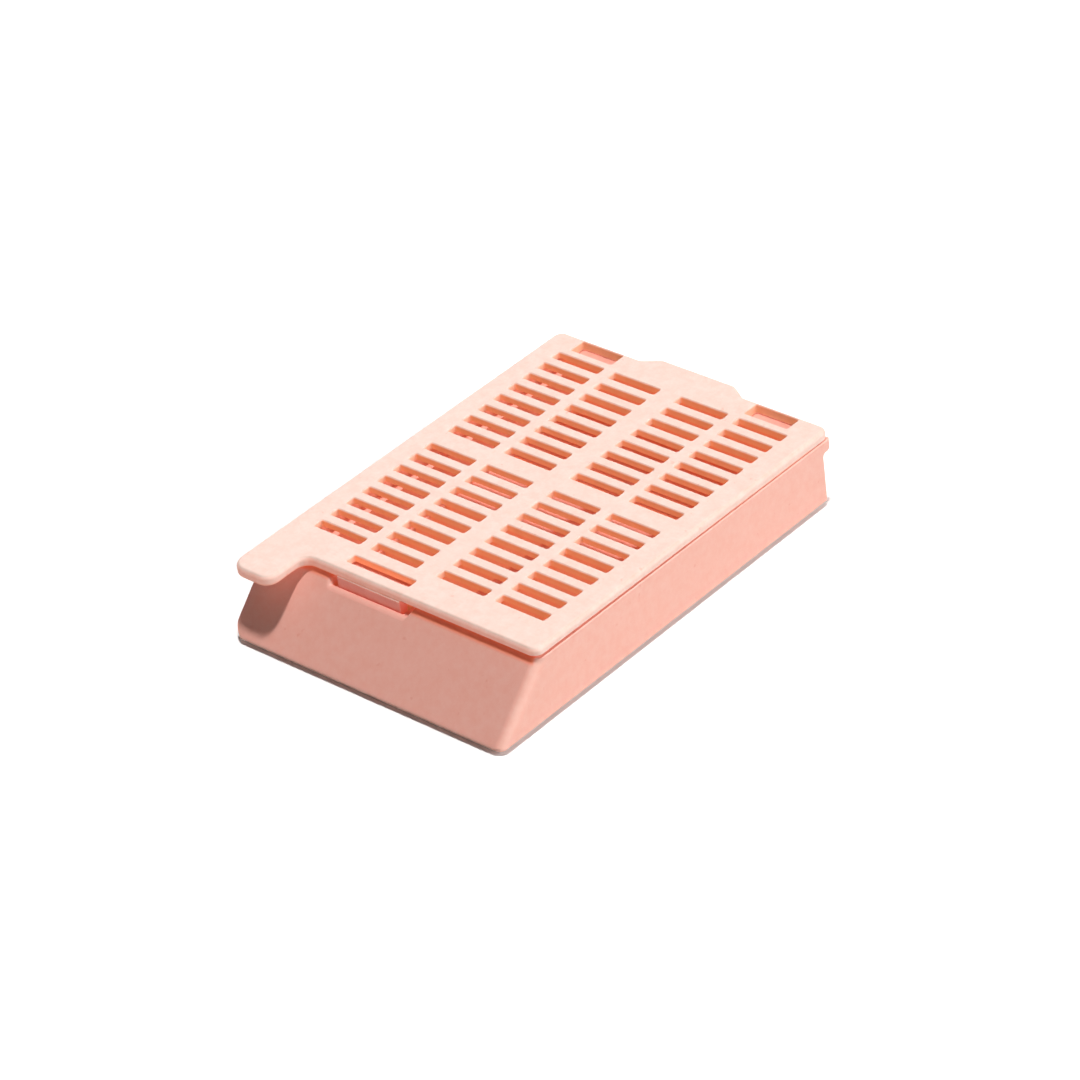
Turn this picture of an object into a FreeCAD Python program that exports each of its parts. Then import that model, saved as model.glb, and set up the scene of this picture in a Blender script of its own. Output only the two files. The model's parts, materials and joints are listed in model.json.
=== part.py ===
"""Tissue cassette: a slotted tray (base) with a slanted writing face, and a slotted lid that
hooks round a bar at the tray's rear and latches at its front.

Millimetres. +Z is up, +Y points to the hinge, +X to the right when facing the writing face.
The origin is the centre of the underside of the closed cassette's bounding box.
"""
import FreeCAD
import Part
import math
import os

Vector = FreeCAD.Vector

# ---- driving dimensions -----------------------------------------------------------------

# Overall
overall_length = 41.6        # foot of the writing face to the back of the hinge lug
base_width = 28.5
overall_height = 6.8         # table to the top of the closed lid

# Lid plate
lid_side_inset = 0.05        # lid edge inside the base's side
rim_front_thickness = 0.62   # lid's outer band at its front edge
rim_rear_thickness = 0.82    # lid's outer band at its rear edge
panel_thickness = 0.6        # lid's slotted panel
lid_edge_radius = 0.35       # rounding of the lid's top edge
front_corner_radius = 0.8
rear_corner_radius = 0.4

# Slot lattice, shared by lid and floor
slot_width = 0.92
slot_corner_radius = 0.15
row_pitch = 1.84
group_gap = 2.9              # between the two middle rows, centre to centre
end_band_front = 3.46        # solid band of the lid in front of the first row
end_band_rear = 2.6          # solid band behind the last row
center_band = 2.1            # solid band along the middle
column_gap = 1.1             # between an inner and an outer column
side_band = 2.15             # from the outer columns to the lid's side

# Lid windows
rear_window_length = 4.4
rear_window_width = 1.55
rear_window_inner_x = 7.0
rear_window_strip = 0.3      # lid material behind a rear window
latch_window_width = 0.95
latch_window_setback = 1.15  # lid material in front of the latch window

# Thumb tab
tab_width = 4.3
tab_reach = 4.05
tab_thickness = 0.85
tab_outer_radius = 1.5
tab_inner_radius = 1.1
tab_root_radius = 0.5

# Latch tongue
latch_center_x = -3.15
latch_width = 6.6
latch_thickness = 0.9
latch_depth = 3.0            # below the lid's top
latch_lead = 0.1             # tongue's face ahead of the lid's front edge
latch_shoulder = 0.75        # top of that lead below the lid's top
latch_foot_radius = 0.25
bead_radius = 0.25

# Base shell
foot_height = 0.35           # skirt's lower edge above the table
skirt_thickness = 1.0
writing_angle = 45.0         # writing face above the horizontal
writing_thickness = 1.0
slant_edge_radius = 0.85     # between the writing face and the right side
left_edge_radius = 0.15      # between the writing face and the left side
left_foot_radius = 1.3       # left front corner in plan
skirt_edge_radius = 0.2
rim_edge_radius = 0.15
base_rear_corner_radius = 0.3
deck_thickness = 1.0
rib_thickness = 0.8
rib_x = 8.8
rib_lift = 0.35              # ribs' lower edge above the skirt's
rim_gap = 0.08               # lid's rear edge above the base's rim
lid_overhang = 0.32          # lid edge ahead of the writing face's top edge

# Tray
floor_thickness = 0.9
tray_margin = 0.4            # tray wall clear of the slot lattice, front and rear
side_rim_width = 1.65
ledge_width = 1.0
ledge_depth = 1.9            # below the lid's top
tray_wall = 0.9
tray_corner_radius = 1.0
tray_front_wall = 1.0
foot_rear_inset = 0.5        # tray underside ahead of the rear wall's face

# Notch in the writing face's top edge
notch_left_gap = 0.6
notch_right_gap = 0.9
notch_depth = 0.77           # floor of the notch below the rim
notch_flare = 0.5            # each side leans out by this much over the notch's depth

# Hinge
lip_reach = 0.85             # rear lip past the rear wall, flush with the lid's rear edge
lip_height = 1.2
lip_edge_radius = 0.45
lip_root_radius = 0.25
lug_reach = 1.0              # hinge lug past the lid's rear edge
lug_root_width = 10.8
lug_tip_width = 7.6
lug_corner_radius = 0.8
lug_root_radius = 0.6
bar_radius = 0.4
bar_drop = 1.55              # bar's axis below the lid's top
bar_length = 8.9
hook_width = 8.6
hook_wrap_angle = 150.0      # hook's end, measured from the top towards the rear

# Fits
hinge_clearance = 0.1        # radial, hook to bar
swing_clearance = 0.1        # hook's outside to the pocket
latch_clearance = 0.1        # tongue's face to the pocket's front
bead_clearance = 0.05        # bead to the pocket's rear edge
pocket_side_clearance = 0.05 # pocket inside the notch's ends

# ---- derived places ---------------------------------------------------------------------

half_length = overall_length / 2
half_base = base_width / 2
half_lid = half_base - lid_side_inset
lid_top = overall_height
rim_underside_front = lid_top - rim_front_thickness
rim_underside_rear = lid_top - rim_rear_thickness
panel_underside = lid_top - panel_thickness
rim_z = rim_underside_rear - rim_gap

lug_rear_y = half_length
lid_rear_y = lug_rear_y - lug_reach
rear_wall_y = lid_rear_y - lip_reach
lip_bottom_z = rim_z - lip_height

slope_tan = math.tan(math.radians(writing_angle))
slope_sin = math.sin(math.radians(writing_angle))
foot_round_loss = skirt_edge_radius * (1 / math.tan(math.radians(writing_angle / 2)) - 1)
slope_foot_y = -half_length - foot_round_loss
slope_top_y = slope_foot_y + (rim_z - foot_height) / slope_tan
lid_front_y = slope_top_y - lid_overhang

slot_length = (half_lid - side_band - center_band / 2 - column_gap) / 2
inner_column_x = (center_band + slot_length) / 2
outer_column_x = inner_column_x + slot_length + column_gap
lattice_front_y = lid_front_y + end_band_front
lattice_rear_y = lid_rear_y - end_band_rear
lattice_center_y = (lattice_front_y + lattice_rear_y) / 2
lattice_half = (lattice_rear_y - lattice_front_y) / 2
rows_per_group = 1 + int((lattice_half - (group_gap + slot_width) / 2) / row_pitch + 0.01)

tray_front_y = lattice_front_y - tray_margin
tray_rear_y = lattice_rear_y + tray_margin
tray_upper_x = half_base - side_rim_width
tray_lower_x = tray_upper_x - ledge_width
ledge_z = lid_top - ledge_depth
tray_outer_x = tray_lower_x + tray_wall
skirt_inner_x = half_base - skirt_thickness
groove_top_z = ledge_z - tray_wall

bar_y = lid_rear_y
bar_z = lid_top - bar_drop
hook_inner_radius = bar_radius + hinge_clearance
hook_outer_radius = lug_rear_y - bar_y
pocket_radius = hook_outer_radius + swing_clearance

latch_left_x = latch_center_x - latch_width / 2
latch_right_x = latch_center_x + latch_width / 2
notch_left_x = latch_left_x - notch_left_gap
notch_right_x = latch_right_x + notch_right_gap
latch_front_y = lid_front_y - latch_lead
latch_rear_y = latch_front_y + latch_thickness
pocket_front_y = latch_front_y - latch_clearance
pocket_rear_y = latch_rear_y + bead_radius + bead_clearance

beyond = 5.0                 # how far a cutter runs past the surface that it opens


# ---- helpers ----------------------------------------------------------------------------

def rounded_outline(corners):
    """Closed wire in the XY plane through (x, y, radius) corners, each rounded by an arc."""
    points = [Vector(x, y, 0) for x, y, _ in corners]
    starts, edges = [], []
    for i, (_, _, radius) in enumerate(corners):
        here = points[i]
        back = (points[i - 1] - here).normalize()
        ahead = (points[(i + 1) % len(points)] - here).normalize()
        half_angle = back.getAngle(ahead) / 2
        if radius == 0:
            starts.append((here, here))
            continue
        reach = radius / math.tan(half_angle)
        middle = (back + ahead).normalize() * (radius / math.sin(half_angle) - radius)
        start, end = here + back * reach, here + ahead * reach
        starts.append((start, end))
        edges.append((i, Part.Arc(start, here + middle, end).toShape()))
    arcs = dict(edges)
    loop = []
    for i in range(len(points)):
        if i in arcs:
            loop.append(arcs[i])
        leaving, arriving = starts[i][1], starts[(i + 1) % len(points)][0]
        if leaving.distanceToPoint(arriving) > 1e-6:
            loop.append(Part.LineSegment(leaving, arriving).toShape())
    return Part.Wire(loop)


def plan_prism(corners, bottom, top):
    """Solid with a rounded outline in plan, from one height to another."""
    face = Part.Face(rounded_outline(corners))
    face.translate(Vector(0, 0, bottom))
    return face.extrude(Vector(0, 0, top - bottom))


def rounded_box(x_range, y_range, z_range, radius):
    """Upright box with rounded vertical edges."""
    (x0, x1), (y0, y1) = x_range, y_range
    corners = [(x0, y0, radius), (x1, y0, radius), (x1, y1, radius), (x0, y1, radius)]
    return plan_prism(corners, *z_range)


def box(x_range, y_range, z_range):
    """Plain box between three ranges."""
    low = Vector(x_range[0], y_range[0], z_range[0])
    size = (r[1] - r[0] for r in (x_range, y_range, z_range))
    return Part.makeBox(*size, low)


def side_prism(corners, left, right):
    """Solid whose (y, z, radius) outline is seen from the side, running from left to right in X."""
    face = Part.Face(rounded_outline(corners))
    face.rotate(Vector(0, 0, 0), Vector(1, 1, 1), 120)
    face.translate(Vector(left, 0, 0))
    return face.extrude(Vector(right - left, 0, 0))


def edges_on(shape, test):
    """Edges of the shape whose every vertex and centre pass the test."""
    return [e for e in shape.Edges
            if all(test(p) for p in [v.Point for v in e.Vertexes] + [e.CenterOfMass])]


def row_centers():
    """Y of each row of slots, front to rear."""
    rows = []
    for i in range(rows_per_group):
        offset = group_gap / 2 + i * row_pitch
        rows += [lattice_center_y - offset, lattice_center_y + offset]
    return sorted(rows)


def slot_cutters(columns, bottom, top):
    """One rounded cutter per slot, for columns given as (x start, x end)."""
    cutters = []
    for start, end in columns:
        for y in row_centers():
            y_range = (y - slot_width / 2, y + slot_width / 2)
            cutters.append(rounded_box((start, end), y_range, (bottom, top), slot_corner_radius))
    return cutters


def mirrored(spans):
    """The given X spans and their mirror images."""
    return [(-end, -start) for start, end in spans] + list(spans)


# ---- lid --------------------------------------------------------------------------------

def lug_outline():
    """Corners of the hinge lug behind the lid's rear edge, from right to left."""
    root, tip = lug_root_width / 2, lug_tip_width / 2
    return [(root, lid_rear_y, lug_root_radius), (tip, lug_rear_y, lug_corner_radius),
            (-tip, lug_rear_y, lug_corner_radius), (-root, lid_rear_y, lug_root_radius)]


def lid_plate():
    """Lid outline with tab and lug, its top edge rounded, thinned under the slotted panel."""
    tab_right, tab_front_y = -half_lid + tab_width, lid_front_y - tab_reach
    corners = [(-half_lid, lid_rear_y, rear_corner_radius),
               (-half_lid, tab_front_y, tab_outer_radius),
               (tab_right, tab_front_y, tab_inner_radius),
               (tab_right, lid_front_y, tab_root_radius),
               (half_lid, lid_front_y, front_corner_radius),
               (half_lid, lid_rear_y, rear_corner_radius)] + lug_outline()
    plate = plan_prism(corners, lid_top - tab_thickness, lid_top)
    plate = plate.makeFillet(lid_edge_radius, edges_on(plate, lambda p: p.z > lid_top - 1e-4))
    low = lid_top - beyond
    under_rim = side_prism([(tab_front_y, low, 0), (lug_rear_y + beyond, low, 0),
                            (lug_rear_y + beyond, rim_underside_rear, 0),
                            (lid_rear_y, rim_underside_rear, 0),
                            (lid_front_y, rim_underside_front, 0),
                            (tab_front_y, rim_underside_front, 0)], -half_base, half_base)
    pad = box((-half_base, latch_left_x), (tab_front_y, latch_rear_y), (low, lid_top))
    recess = rounded_box((-tray_upper_x, tray_upper_x), (tray_front_y, tray_rear_y),
                         (low, panel_underside), tray_corner_radius)
    return plate.cut([under_rim.cut(pad), recess])


def lid_windows():
    """Cutters for the two rear windows and the latch window."""
    through = (lid_top - beyond, lid_top + beyond)
    rear_y = lid_rear_y - rear_window_strip
    span = (rear_window_inner_x, rear_window_inner_x + rear_window_length)
    cutters = [rounded_box(x_range, (rear_y - rear_window_width, rear_y), through, slot_corner_radius)
               for x_range in mirrored([span])]
    front_y = lid_front_y + latch_window_setback
    cutters.append(rounded_box((latch_left_x, latch_right_x), (front_y, front_y + latch_window_width),
                               through, slot_corner_radius))
    return cutters


def latch_tongue():
    """Tongue under the lid's front edge, with a bead along its rear foot."""
    shoulder_z, bottom_z = lid_top - latch_shoulder, lid_top - latch_depth
    tongue = side_prism([(latch_front_y, shoulder_z, 0), (lid_front_y, shoulder_z, 0),
                         (lid_front_y, panel_underside, 0), (latch_rear_y, panel_underside, 0),
                         (latch_rear_y, bottom_z, latch_foot_radius),
                         (latch_front_y, bottom_z, latch_foot_radius)],
                        latch_left_x, latch_right_x)
    bead = Part.makeCylinder(bead_radius, latch_width,
                             Vector(latch_left_x, latch_rear_y, bottom_z + 2 * bead_radius),
                             Vector(1, 0, 0))
    return tongue.fuse(bead)


def ring_point(radius, angle):
    """Point round the hinge bar, its angle measured from the top towards the rear."""
    turn = math.radians(angle)
    return Vector(0, bar_y + radius * math.sin(turn), bar_z + radius * math.cos(turn))


def hinge_hook():
    """Hook under the lug that wraps the hinge bar from above and behind."""
    top = panel_underside
    ahead_y = bar_y - hook_inner_radius
    outer, inner = hook_outer_radius, hook_inner_radius
    middle = (90 + hook_wrap_angle) / 2
    outline = [
        Part.LineSegment(Vector(0, ahead_y, top), Vector(0, lug_rear_y, top)),
        Part.LineSegment(Vector(0, lug_rear_y, top), ring_point(outer, 90)),
        Part.Arc(ring_point(outer, 90), ring_point(outer, middle), ring_point(outer, hook_wrap_angle)),
        Part.LineSegment(ring_point(outer, hook_wrap_angle), ring_point(inner, hook_wrap_angle)),
        Part.Arc(ring_point(inner, hook_wrap_angle), ring_point(inner, hook_wrap_angle / 2), ring_point(inner, 0)),
        Part.LineSegment(ring_point(inner, 0), Vector(0, ahead_y, bar_z + inner)),
        Part.LineSegment(Vector(0, ahead_y, bar_z + inner), Vector(0, ahead_y, top)),
    ]
    face = Part.Face(Part.Wire([curve.toShape() for curve in outline]))
    face.translate(Vector(-hook_width / 2, 0, 0))
    hook = face.extrude(Vector(hook_width, 0, 0))
    root = lug_root_width / 2
    footprint = plan_prism(lug_outline() + [(-root, ahead_y - beyond, 0), (root, ahead_y - beyond, 0)],
                           bar_z - beyond, lid_top)
    return hook.common(footprint)


def make_lid():
    """Whole lid as one solid."""
    columns = mirrored([(inner_column_x - slot_length / 2, inner_column_x + slot_length / 2),
                        (outer_column_x - slot_length / 2, outer_column_x + slot_length / 2)])
    lid = lid_plate().fuse([latch_tongue(), hinge_hook()])
    lid = lid.cut(slot_cutters(columns, lid_top - beyond, lid_top + beyond) + lid_windows())
    return lid.removeSplitter()


# ---- base -------------------------------------------------------------------------------

def base_block():
    """Outer form of the base above the skirt's lower edge, with every outside edge rounded."""
    corners = [(slope_foot_y, foot_height, 0), (rear_wall_y, foot_height, 0),
               (rear_wall_y, lip_bottom_z, lip_root_radius),
               (lid_rear_y, lip_bottom_z, lip_edge_radius),
               (lid_rear_y, rim_z, 0), (slope_top_y, rim_z, 0)]
    block = side_prism(corners, -half_base, half_base)

    def on_slope(point):
        return abs(point.z - foot_height - (point.y - slope_foot_y) * slope_tan) < 1e-4

    slanted = edges_on(block, lambda p: p.x > half_base - 1e-4 and on_slope(p))
    block = block.makeFillet(slant_edge_radius, slanted)
    upright = edges_on(block, lambda p: abs(p.x) > half_base - 1e-4
                       and abs(p.y - rear_wall_y) < 1e-4)
    block = block.makeFillet(base_rear_corner_radius, upright)
    block = block.makeFillet(rim_edge_radius, edges_on(block, lambda p: p.z > rim_z - 1e-4))
    block = block.makeFillet(skirt_edge_radius, edges_on(block, lambda p: p.z < foot_height + 1e-4))
    plan = plan_prism([(-half_base, -half_length, left_foot_radius),
                       (half_base + beyond, -half_length, 0),
                       (half_base + beyond, lug_rear_y, 0), (-half_base, lug_rear_y, 0)], 0, lid_top)
    block = block.common(plan)
    left = edges_on(block, lambda p: p.x < left_foot_radius - half_base and on_slope(p))
    return block.makeFillet(left_edge_radius, left)


def tray_foot():
    """Outside of the tray where it stands below the skirt."""
    foot_rear_y = rear_wall_y - foot_rear_inset
    return rounded_box((-tray_outer_x, tray_outer_x), (tray_front_y - tray_front_wall, foot_rear_y),
                       (0, groove_top_z), tray_corner_radius)


def tray_space():
    """Inside of the tray: a lower well and a wider top above the ledges."""
    y_range = (tray_front_y, tray_rear_y)
    well = rounded_box((-tray_lower_x, tray_lower_x), y_range,
                       (floor_thickness, lid_top + beyond), tray_corner_radius)
    top = rounded_box((-tray_upper_x, tray_upper_x), y_range,
                      (ledge_z, lid_top + beyond), tray_corner_radius)
    return well.fuse(top)


def underside_space():
    """Hollow behind the writing face and the grooves between the skirt and the tray."""
    deck_underside = rim_z - deck_thickness
    run = writing_thickness / slope_sin
    hollow_rear_y = tray_front_y - tray_front_wall
    low = -beyond
    corners = [(slope_foot_y + run + (low - foot_height) / slope_tan, low, 0),
               (hollow_rear_y, low, 0), (hollow_rear_y, deck_underside, 0),
               (slope_foot_y + run + (deck_underside - foot_height) / slope_tan, deck_underside, 0)]
    hollow = side_prism(corners, -skirt_inner_x, skirt_inner_x)
    grooves = [box(span, (hollow_rear_y - tray_front_wall, tray_rear_y), (low, groove_top_z))
               for span in mirrored([(tray_outer_x, skirt_inner_x)])]
    ribs = [box(span, (slope_foot_y, hollow_rear_y + beyond), (foot_height + rib_lift, lid_top))
            for span in mirrored([(rib_x - rib_thickness / 2, rib_x + rib_thickness / 2)])]
    return hollow.cut(ribs).fuse(grooves)


def latch_pocket():
    """Opening in the deck that the latch tongue drops through."""
    x_range = (notch_left_x + pocket_side_clearance, notch_right_x - pocket_side_clearance)
    return box(x_range, (pocket_front_y, pocket_rear_y),
               (rim_z - deck_thickness - writing_thickness, lid_top))


def writing_notch():
    """Notch in the top edge of the writing face, its ends leaning outwards."""
    floor_z = rim_z - notch_depth
    rise = lid_top - floor_z
    flare = notch_flare * rise / notch_depth
    outline = Part.makePolygon([
        Vector(notch_left_x, slope_foot_y, floor_z), Vector(notch_right_x, slope_foot_y, floor_z),
        Vector(notch_right_x + flare, slope_foot_y, floor_z + rise),
        Vector(notch_left_x - flare, slope_foot_y, floor_z + rise),
        Vector(notch_left_x, slope_foot_y, floor_z)])
    return Part.Face(outline).extrude(Vector(0, pocket_rear_y - slope_foot_y, 0))


def hinge_pocket():
    """Space round the hinge bar that the lid's hook swings in."""
    half = bar_length / 2
    return box((-half, half), (bar_y - pocket_radius, lug_rear_y + beyond),
               (bar_z - pocket_radius, lid_top))


def make_base():
    """Whole base as one solid."""
    columns = mirrored([(inner_column_x - slot_length / 2, inner_column_x + slot_length / 2),
                        (outer_column_x - slot_length / 2, tray_lower_x - slot_corner_radius)])
    base = base_block().cut(underside_space()).fuse(tray_foot())
    base = base.cut([tray_space(), latch_pocket(), writing_notch(), hinge_pocket()])
    bar = Part.makeCylinder(bar_radius, bar_length + 2 * bar_radius,
                            Vector(-bar_length / 2 - bar_radius, bar_y, bar_z), Vector(1, 0, 0))
    base = base.fuse(bar)
    base = base.cut(slot_cutters(columns, -beyond, ledge_z))
    return base.removeSplitter()


# ---- output -----------------------------------------------------------------------------

os.makedirs("parts", exist_ok=True)
for name, build in (("base", make_base), ("lid", make_lid)):
    solid = build()
    if solid.ShapeType == "Compound" and len(solid.Solids) == 1:
        solid = solid.Solids[0]
    bounds = solid.BoundBox
    print(name, solid.isValid(), len(solid.Solids), round(solid.Volume, 2),
          [round(v, 3) for v in (bounds.XMin, bounds.XMax, bounds.YMin, bounds.YMax, bounds.ZMin, bounds.ZMax)])
    solid.exportStep(f"parts/{name}.step")
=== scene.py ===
"""Tissue cassette: a slotted base with a slanted writing face and a slotted, hinged lid.

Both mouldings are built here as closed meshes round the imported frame, in satin acetal, and
stand on a pale studio floor. Sizes in the dataclasses are millimetres; the scene is metres.
"""
import json
import logging
import math
from dataclasses import dataclass, field
from enum import Enum
from typing import Iterable, Sequence

import bmesh
import bpy
from bpy.types import Material, Mesh, Node, NodeSocket, NodeTree, Object, World
from mathutils import Matrix, Vector


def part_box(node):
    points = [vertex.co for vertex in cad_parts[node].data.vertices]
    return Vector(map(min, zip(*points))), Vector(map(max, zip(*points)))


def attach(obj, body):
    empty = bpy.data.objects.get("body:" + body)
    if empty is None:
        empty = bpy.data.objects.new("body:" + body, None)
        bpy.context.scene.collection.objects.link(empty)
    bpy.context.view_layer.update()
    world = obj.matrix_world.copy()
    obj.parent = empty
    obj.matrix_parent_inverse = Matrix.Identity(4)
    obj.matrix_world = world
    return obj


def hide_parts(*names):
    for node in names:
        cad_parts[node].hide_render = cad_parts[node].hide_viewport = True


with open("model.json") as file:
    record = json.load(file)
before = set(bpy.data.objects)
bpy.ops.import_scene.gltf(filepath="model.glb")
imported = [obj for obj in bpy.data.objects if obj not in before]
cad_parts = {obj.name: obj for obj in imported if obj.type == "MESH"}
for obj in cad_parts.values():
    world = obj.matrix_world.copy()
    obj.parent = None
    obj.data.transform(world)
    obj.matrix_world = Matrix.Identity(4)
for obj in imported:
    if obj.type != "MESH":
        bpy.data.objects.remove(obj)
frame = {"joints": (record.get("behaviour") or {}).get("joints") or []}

log = logging.getLogger("cassette")

MM = 0.001
SMALLEST_RADIUS = 0.012      # a corner that is called sharp is still rounded this much
OVERRUN = 0.6                # how far a cutter runs past the surface that it opens
CLEAR = 0.004                # keeps the faces of two solids out of one plane
BEYOND = 1.0                 # how far a cutter or a zone reaches past the moulding's outside

Point2 = tuple[float, float]
Point3 = tuple[float, float, float]


class Facing(Enum):
    """Which way an outline looks: the outline's two axes, then the way it is extruded."""

    PLAN = (0, 1, 2)
    SIDE = (1, 2, 0)
    FRONT = (2, 0, 1)

    def place(self, u: float, v: float, w: float) -> Vector:
        """Turns outline coordinates into a point.

        Args:
            u: Place along the first axis.
            v: Place along the second axis.
            w: Place along the extrusion.

        Returns:
            The point.
        """
        point = Vector((0.0, 0.0, 0.0))
        for axis, value in zip(self.value, (u, v, w)):
            point[axis] = value
        return point


class Join(Enum):
    """How one solid changes another."""

    CUT = "DIFFERENCE"
    ADD = "UNION"
    KEEP_COMMON = "INTERSECT"


# ---- outlines -----------------------------------------------------------------------------

@dataclass(frozen=True)
class Corner:
    """One corner of an outline, with its rounding."""

    u: float
    v: float
    radius: float = 0.0


def cross2(a: Vector, b: Vector) -> float:
    """The turn from one flat direction to the next, positive to the left."""
    return a.x * b.y - a.y * b.x


def inset(corners: Sequence[Corner], distances: Sequence[float]) -> list[Corner]:
    """Moves every edge of an anticlockwise outline inwards.

    Args:
        corners: The outline.
        distances: How far each edge moves; edge i runs from corner i to the next one.

    Returns:
        The new outline, whose roundings shrink at outside corners and grow at inside ones.
    """
    count = len(corners)
    points = [Vector((c.u, c.v)) for c in corners]
    ways = [(points[(i + 1) % count] - points[i]).normalized() for i in range(count)]
    moved = []
    for i, corner in enumerate(corners):
        before, after = ways[i - 1], ways[i]
        d0, d1 = distances[i - 1], distances[i]
        n0, n1 = Vector((-before.y, before.x)), Vector((-after.y, after.x))
        turn = cross2(n0, n1)
        if abs(turn) < 1e-9:
            shift = n0 * d0
        else:
            shift = Vector(((d0 * n1.y - d1 * n0.y) / turn, (n0.x * d1 - n1.x * d0) / turn))
        change = (d0 + d1) / 2
        radius = corner.radius - change if turn > 0 else corner.radius + change
        point = points[i] + shift
        moved.append(Corner(point.x, point.y, max(radius, SMALLEST_RADIUS)))
    return moved


def rounded(corners: Sequence[Corner], steps: int) -> list[tuple[Vector, int, float]]:
    """Points along an outline with its corners rounded.

    Args:
        corners: The outline, anticlockwise.
        steps: How many straight pieces stand for each rounding.

    Returns:
        Each point, the corner it belongs to, and how far round that corner it lies (0 to 1).
    """
    count = len(corners)
    points = [Vector((c.u, c.v)) for c in corners]
    found = []
    for i, corner in enumerate(corners):
        back = points[i - 1] - points[i]
        ahead = points[(i + 1) % count] - points[i]
        room = 0.499 * min(back.length, ahead.length)
        back.normalize()
        ahead.normalize()
        half = back.angle(ahead) / 2
        reach = min(max(corner.radius, SMALLEST_RADIUS) / math.tan(half), room)
        radius = reach * math.tan(half)
        centre = points[i] + (back + ahead).normalized() * (radius / math.sin(half))
        start = points[i] + back * reach - centre
        sweep = math.pi - 2 * half
        if cross2(back, ahead) > 0:
            sweep = -sweep
        for k in range(steps + 1):
            spun = start.copy()
            spun.rotate(Matrix.Rotation(sweep * k / steps, 2))
            found.append((centre + spun, i, k / steps))
    return found


def box_outline(low: Point2, high: Point2, radius: float) -> list[Corner]:
    """A rectangle with rounded corners, anticlockwise."""
    return [Corner(low[0], low[1], radius), Corner(high[0], low[1], radius),
            Corner(high[0], high[1], radius), Corner(low[0], high[1], radius)]


def circle(u: float, v: float, radius: float, count: int) -> list[Corner]:
    """A many-sided outline round a point, anticlockwise."""
    turns = (math.tau * k / count for k in range(count))
    return [Corner(u + radius * math.cos(a), v + radius * math.sin(a)) for a in turns]


# ---- solids -------------------------------------------------------------------------------

def placed(name: str, data: bpy.types.ID) -> Object:
    """A new object with the given data, linked to the scene.

    Args:
        name: The new object's name.
        data: Its mesh, camera or lamp.

    Returns:
        The object.
    """
    thing = bpy.data.objects.new(name, data)
    bpy.context.scene.collection.objects.link(thing)
    return thing


def poured(name: str, work: bmesh.types.BMesh) -> Object:
    """Turns finished mesh work into an object.

    Args:
        name: The new object's name.
        work: The mesh work, which is freed.

    Returns:
        The object, linked to the scene.
    """
    mesh = bpy.data.meshes.new(name)
    work.to_mesh(mesh)
    work.free()
    return placed(name, mesh)


def baked(solid: Object) -> Mesh:
    """Applies a solid's modifiers to its mesh.

    Args:
        solid: The solid.

    Returns:
        Its new mesh.
    """
    bpy.context.view_layer.update()
    graph = bpy.context.evaluated_depsgraph_get()
    made = bpy.data.meshes.new_from_object(solid.evaluated_get(graph))
    solid.modifiers.clear()
    old, solid.data = solid.data, made
    bpy.data.meshes.remove(old)
    return made


def solid_from_rings(name: str, rings: Sequence[Sequence[Vector]]) -> Object:
    """A closed solid through rings of equal length, capped at both ends.

    Args:
        name: The new object's name.
        rings: The rings, each anticlockwise as seen from the last one.

    Returns:
        The object, linked to the scene.
    """
    work = bmesh.new()
    laid = [[work.verts.new(p) for p in ring] for ring in rings]
    size = len(laid[0])
    for lower, upper in zip(laid, laid[1:]):
        for i in range(size):
            j = (i + 1) % size
            work.faces.new((lower[i], lower[j], upper[j], upper[i]))
    work.faces.new(list(reversed(laid[0])))
    work.faces.new(laid[-1])
    work.normal_update()
    return poured(name, work)


@dataclass(frozen=True)
class End:
    """One end of an extrusion: where it is and how its edge is eased.

    A positive ease rounds the end over, a negative one flares it like the mouth of a cutter,
    and past runs the flared outline on beyond the surface.
    """

    at: float
    ease: float | Sequence[float] = 0.0
    past: float = 0.0


def extrusion(name: str, facing: Facing, corners: Sequence[Corner], start: End, end: End,
              corner_steps: int = 6, ease_steps: int = 5) -> Object:
    """A rounded outline extruded between two ends, each with its own easing.

    Args:
        name: The new object's name.
        facing: Which way the outline looks.
        corners: The outline, anticlockwise as seen against the extrusion.
        start: The lower end.
        end: The upper end.
        corner_steps: Pieces in each corner's rounding.
        ease_steps: Pieces in each end's easing.

    Returns:
        The closed solid.
    """
    rings: list[list[Vector]] = []

    def ring(eases: Sequence[float], turn: float, at: float, way: int) -> list[Vector]:
        """One ring of the easing, at a given turn from the side wall to the end face.

        Args:
            eases: The easing of each edge.
            turn: How far round the easing the ring lies, in radians from the side wall.
            at: Where the end face is.
            way: 1 for the upper end, -1 for the lower one.

        Returns:
            The ring.
        """
        outline = inset(corners, [e * (1 - math.cos(turn)) for e in eases])
        heights = [at - way * abs(e) * (1 - math.sin(turn)) for e in eases]
        laid = []
        for point, i, share in rounded(outline, corner_steps):
            height = heights[i - 1] * (1 - share) + heights[i] * share
            laid.append(facing.place(point.x, point.y, height))
        return laid

    for this, way in ((start, -1), (end, 1)):
        eases = [this.ease] * len(corners) if isinstance(this.ease, float) else list(this.ease)
        eased = max(abs(e) for e in eases) > 0
        turns = [math.pi / 2 * k / ease_steps for k in range(ease_steps + 1)] if eased else [0.0]
        made = [ring(eases, turn, this.at, way) for turn in turns]
        if this.past > 0:
            made.append([facing.place(*[0.0] * 3) + p for p in made[-1]])
            for point in made[-1]:
                point[facing.value[2]] = this.at + way * this.past
        rings += reversed(made) if way < 0 else made
    return solid_from_rings(name, rings)


def joined(name: str, things: Iterable[Object]) -> Object:
    """Several separate solids as one object; the originals go.

    Args:
        name: The new object's name.
        things: The solids.

    Returns:
        The one object.
    """
    work = bmesh.new()
    for thing in list(things):
        work.from_mesh(thing.data)
        discard(thing)
    return poured(name, work)


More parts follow.
